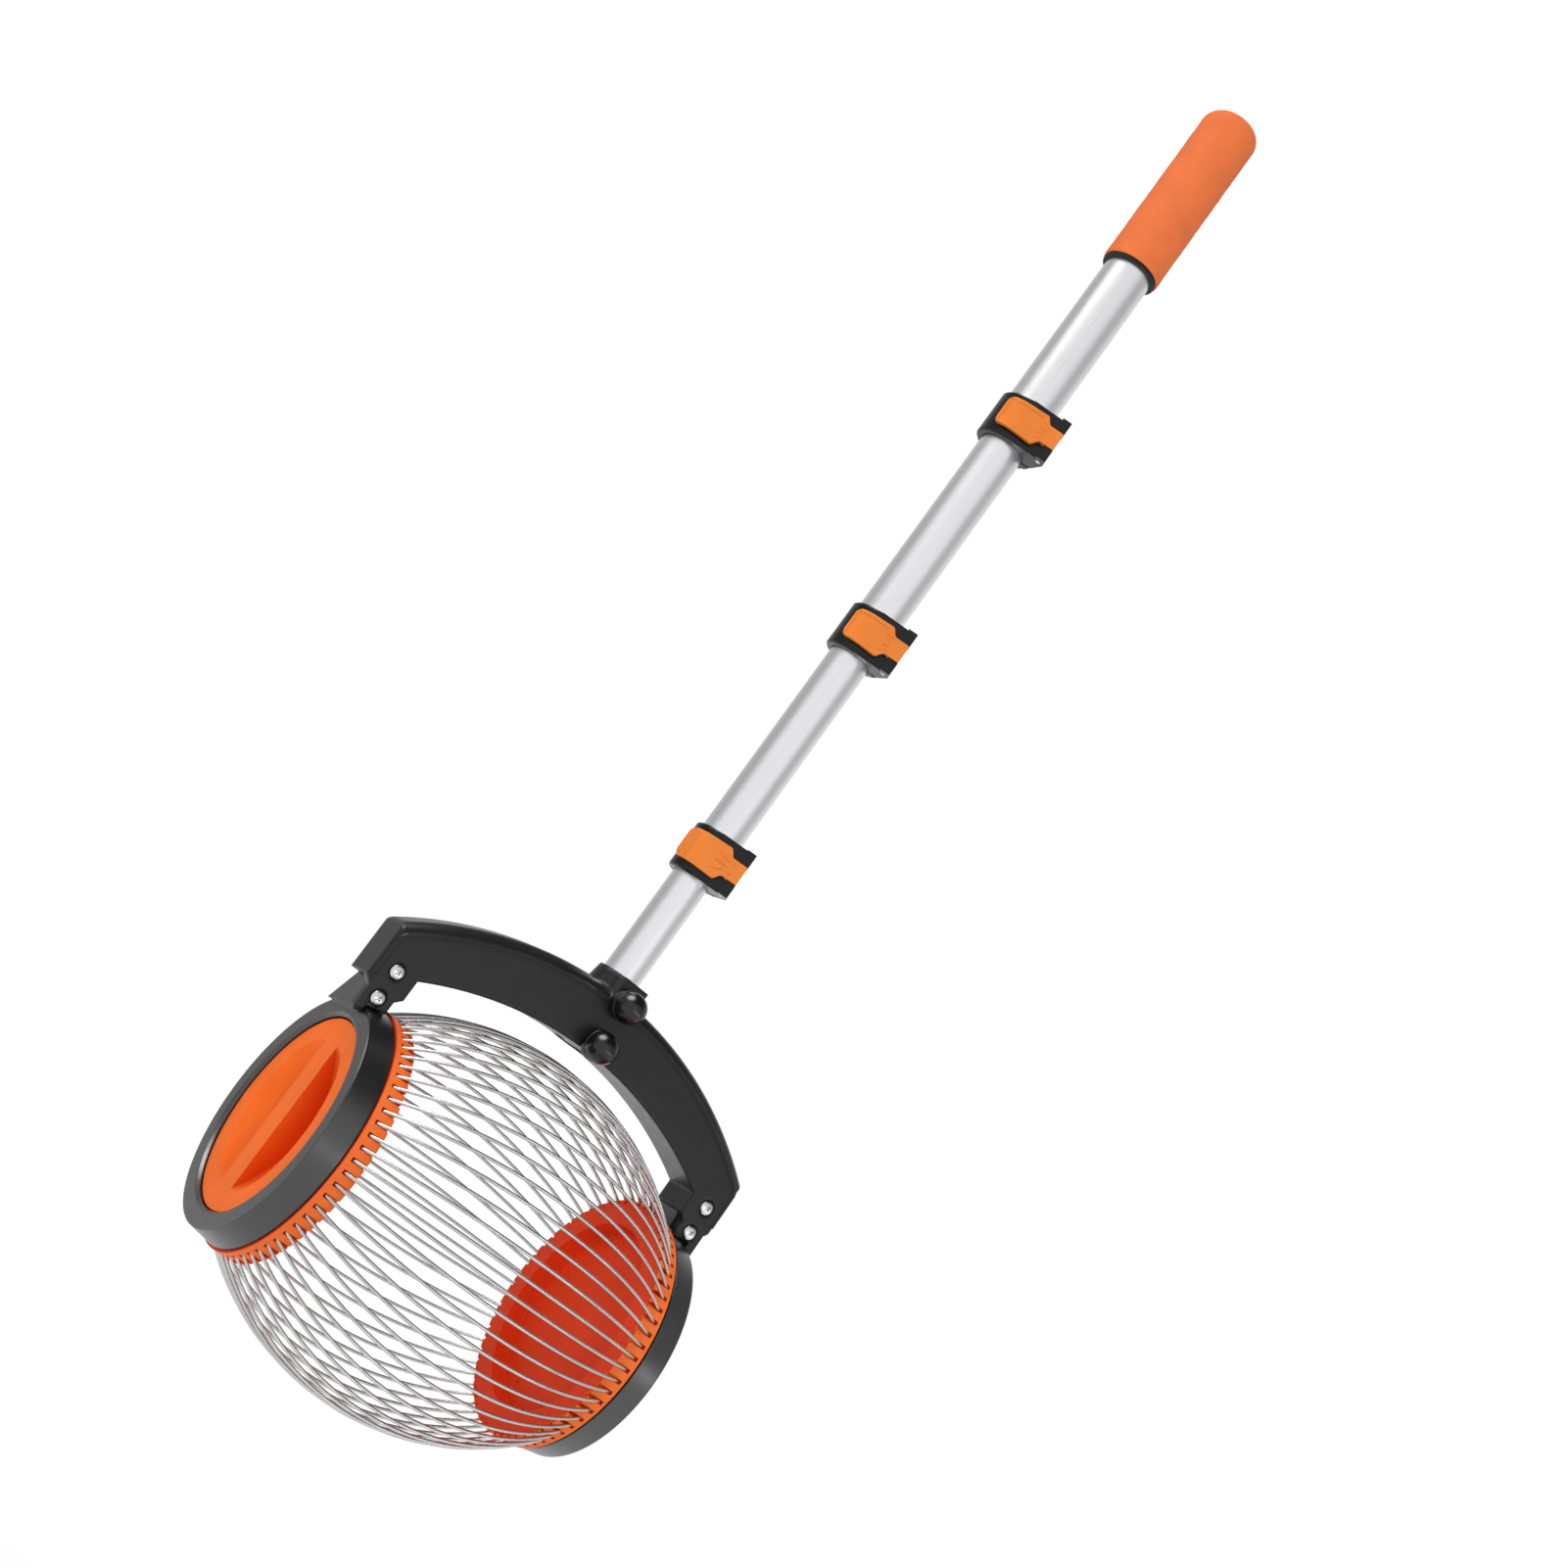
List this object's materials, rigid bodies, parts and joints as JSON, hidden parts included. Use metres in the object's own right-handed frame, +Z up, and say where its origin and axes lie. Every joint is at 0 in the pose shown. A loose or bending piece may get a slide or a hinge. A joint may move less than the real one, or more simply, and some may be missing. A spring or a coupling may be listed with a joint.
{
  "type": "nut gatherer",
  "caption": "Rolling wire-cage nut gatherer: bowed wires between two hubs, a twist lid, an arched yoke and a telescopic pole with flip-lever clamps and a foam grip",
  "frame": {"origin": "on the ground under the middle of the cage, which is also under the middle of the whole part", "axes": "X along the cage axle with the lid at -X, Z up along the pole, -Y is the front with the knobs"},
  "size_m": [0.2504, 0.2078, 0.8949],
  "materials": {
    "satin_aluminium": "satin anodised, fine lengthwise drawing marks",
    "black_collar": "black moulded, slightly glossy",
    "orange_lever": "orange moulded, half glossy",
    "bright_steel": "bright zinc",
    "grey_plug": "grey moulded",
    "gloss_black": "gloss black",
    "dark_ring": "matte dark grey",
    "orange_hub": "orange moulded",
    "black_liner": "black",
    "orange_foam": "fine closed foam",
    "black_yoke": "satin black",
    "steel_wire": "bright spring steel",
    "orange_lid": "orange moulded, half glossy"
  },
  "bodies": {
    "handle": {"top_tube": "satin_aluminium", "grip_liner": "black_liner", "grip_sleeve": "orange_foam", "upper_collar": "black_collar", "upper_lever_pin": "bright_steel"},
    "upper_lever_body": {"upper_lever": "orange_lever"},
    "upper_middle": {"upper_middle_tube": "satin_aluminium", "upper_middle_plug": "grey_plug", "middle_collar": "black_collar", "middle_lever_pin": "bright_steel"},
    "middle_lever_body": {"middle_lever": "orange_lever"},
    "lower_middle": {"lower_middle_tube": "satin_aluminium", "lower_middle_plug": "grey_plug", "lower_collar": "black_collar", "lower_lever_pin": "bright_steel"},
    "lower_lever_body": {"lower_lever": "orange_lever"},
    "fork": {"bottom_tube": "satin_aluminium", "bottom_plug": "grey_plug", "yoke": "black_yoke", "upper_knob_bolt": "bright_steel", "lower_knob_bolt": "bright_steel", "left_end_ring": "dark_ring", "right_end_ring": "dark_ring", "left_lug_screws": "bright_steel", "right_lug_screws": "bright_steel"},
    "upper_knob_body": {"upper_knob": "gloss_black"},
    "lower_knob_body": {"lower_knob": "gloss_black"},
    "cage": {"left_hub": "orange_hub", "right_hub": "orange_hub", "upper_wires": "steel_wire", "lower_wires": "steel_wire"},
    "lid_body": {"lid": "orange_lid"}
  },
  "joints": [
    {"name": "upper_slide", "type": "slide", "parent": "handle", "child": "upper_middle", "axis": [0, 0, 1], "range_m": [-0.055, 0.124]},
    {"name": "middle_slide", "type": "slide", "parent": "upper_middle", "child": "lower_middle", "axis": [0, 0, 1], "range_m": [-0.055, 0.123]},
    {"name": "lower_slide", "type": "slide", "parent": "lower_middle", "child": "fork", "axis": [0, 0, 1], "range_m": [-0.09, 0.063]},
    {"name": "upper_lever_hinge", "type": "hinge", "parent": "handle", "child": "upper_lever_body", "pos_m": [0.01195, -0.01519, 0.65363], "axis": [0, 0, 1], "range_deg": [0, 120]},
    {"name": "middle_lever_hinge", "type": "hinge", "parent": "upper_middle", "child": "middle_lever_body", "pos_m": [0.01141, -0.01343, 0.49863], "axis": [0, 0, 1], "range_deg": [0, 120]},
    {"name": "lower_lever_hinge", "type": "hinge", "parent": "lower_middle", "child": "lower_lever_body", "pos_m": [0.01088, -0.01167, 0.34463], "axis": [0, 0, 1], "range_deg": [0, 120]},
    {"name": "cage_roll", "type": "hinge", "parent": "fork", "child": "cage", "pos_m": [0, 0, 0.10388], "axis": [1, 0, 0], "continuous": true},
    {"name": "lid_turn", "type": "hinge", "parent": "cage", "child": "lid_body", "pos_m": [-0.11, 0, 0.10388], "axis": [1, 0, 0], "range_deg": [0, 40]},
    {"name": "upper_knob_turn", "type": "hinge", "parent": "fork", "child": "upper_knob_body", "pos_m": [0, -0.02, 0.25128], "axis": [0, -1, 0], "range_deg": [0, 360]},
    {"name": "lower_knob_turn", "type": "hinge", "parent": "fork", "child": "lower_knob_body", "pos_m": [0, -0.02, 0.22588], "axis": [0, -1, 0], "range_deg": [0, 360]}
  ]
}
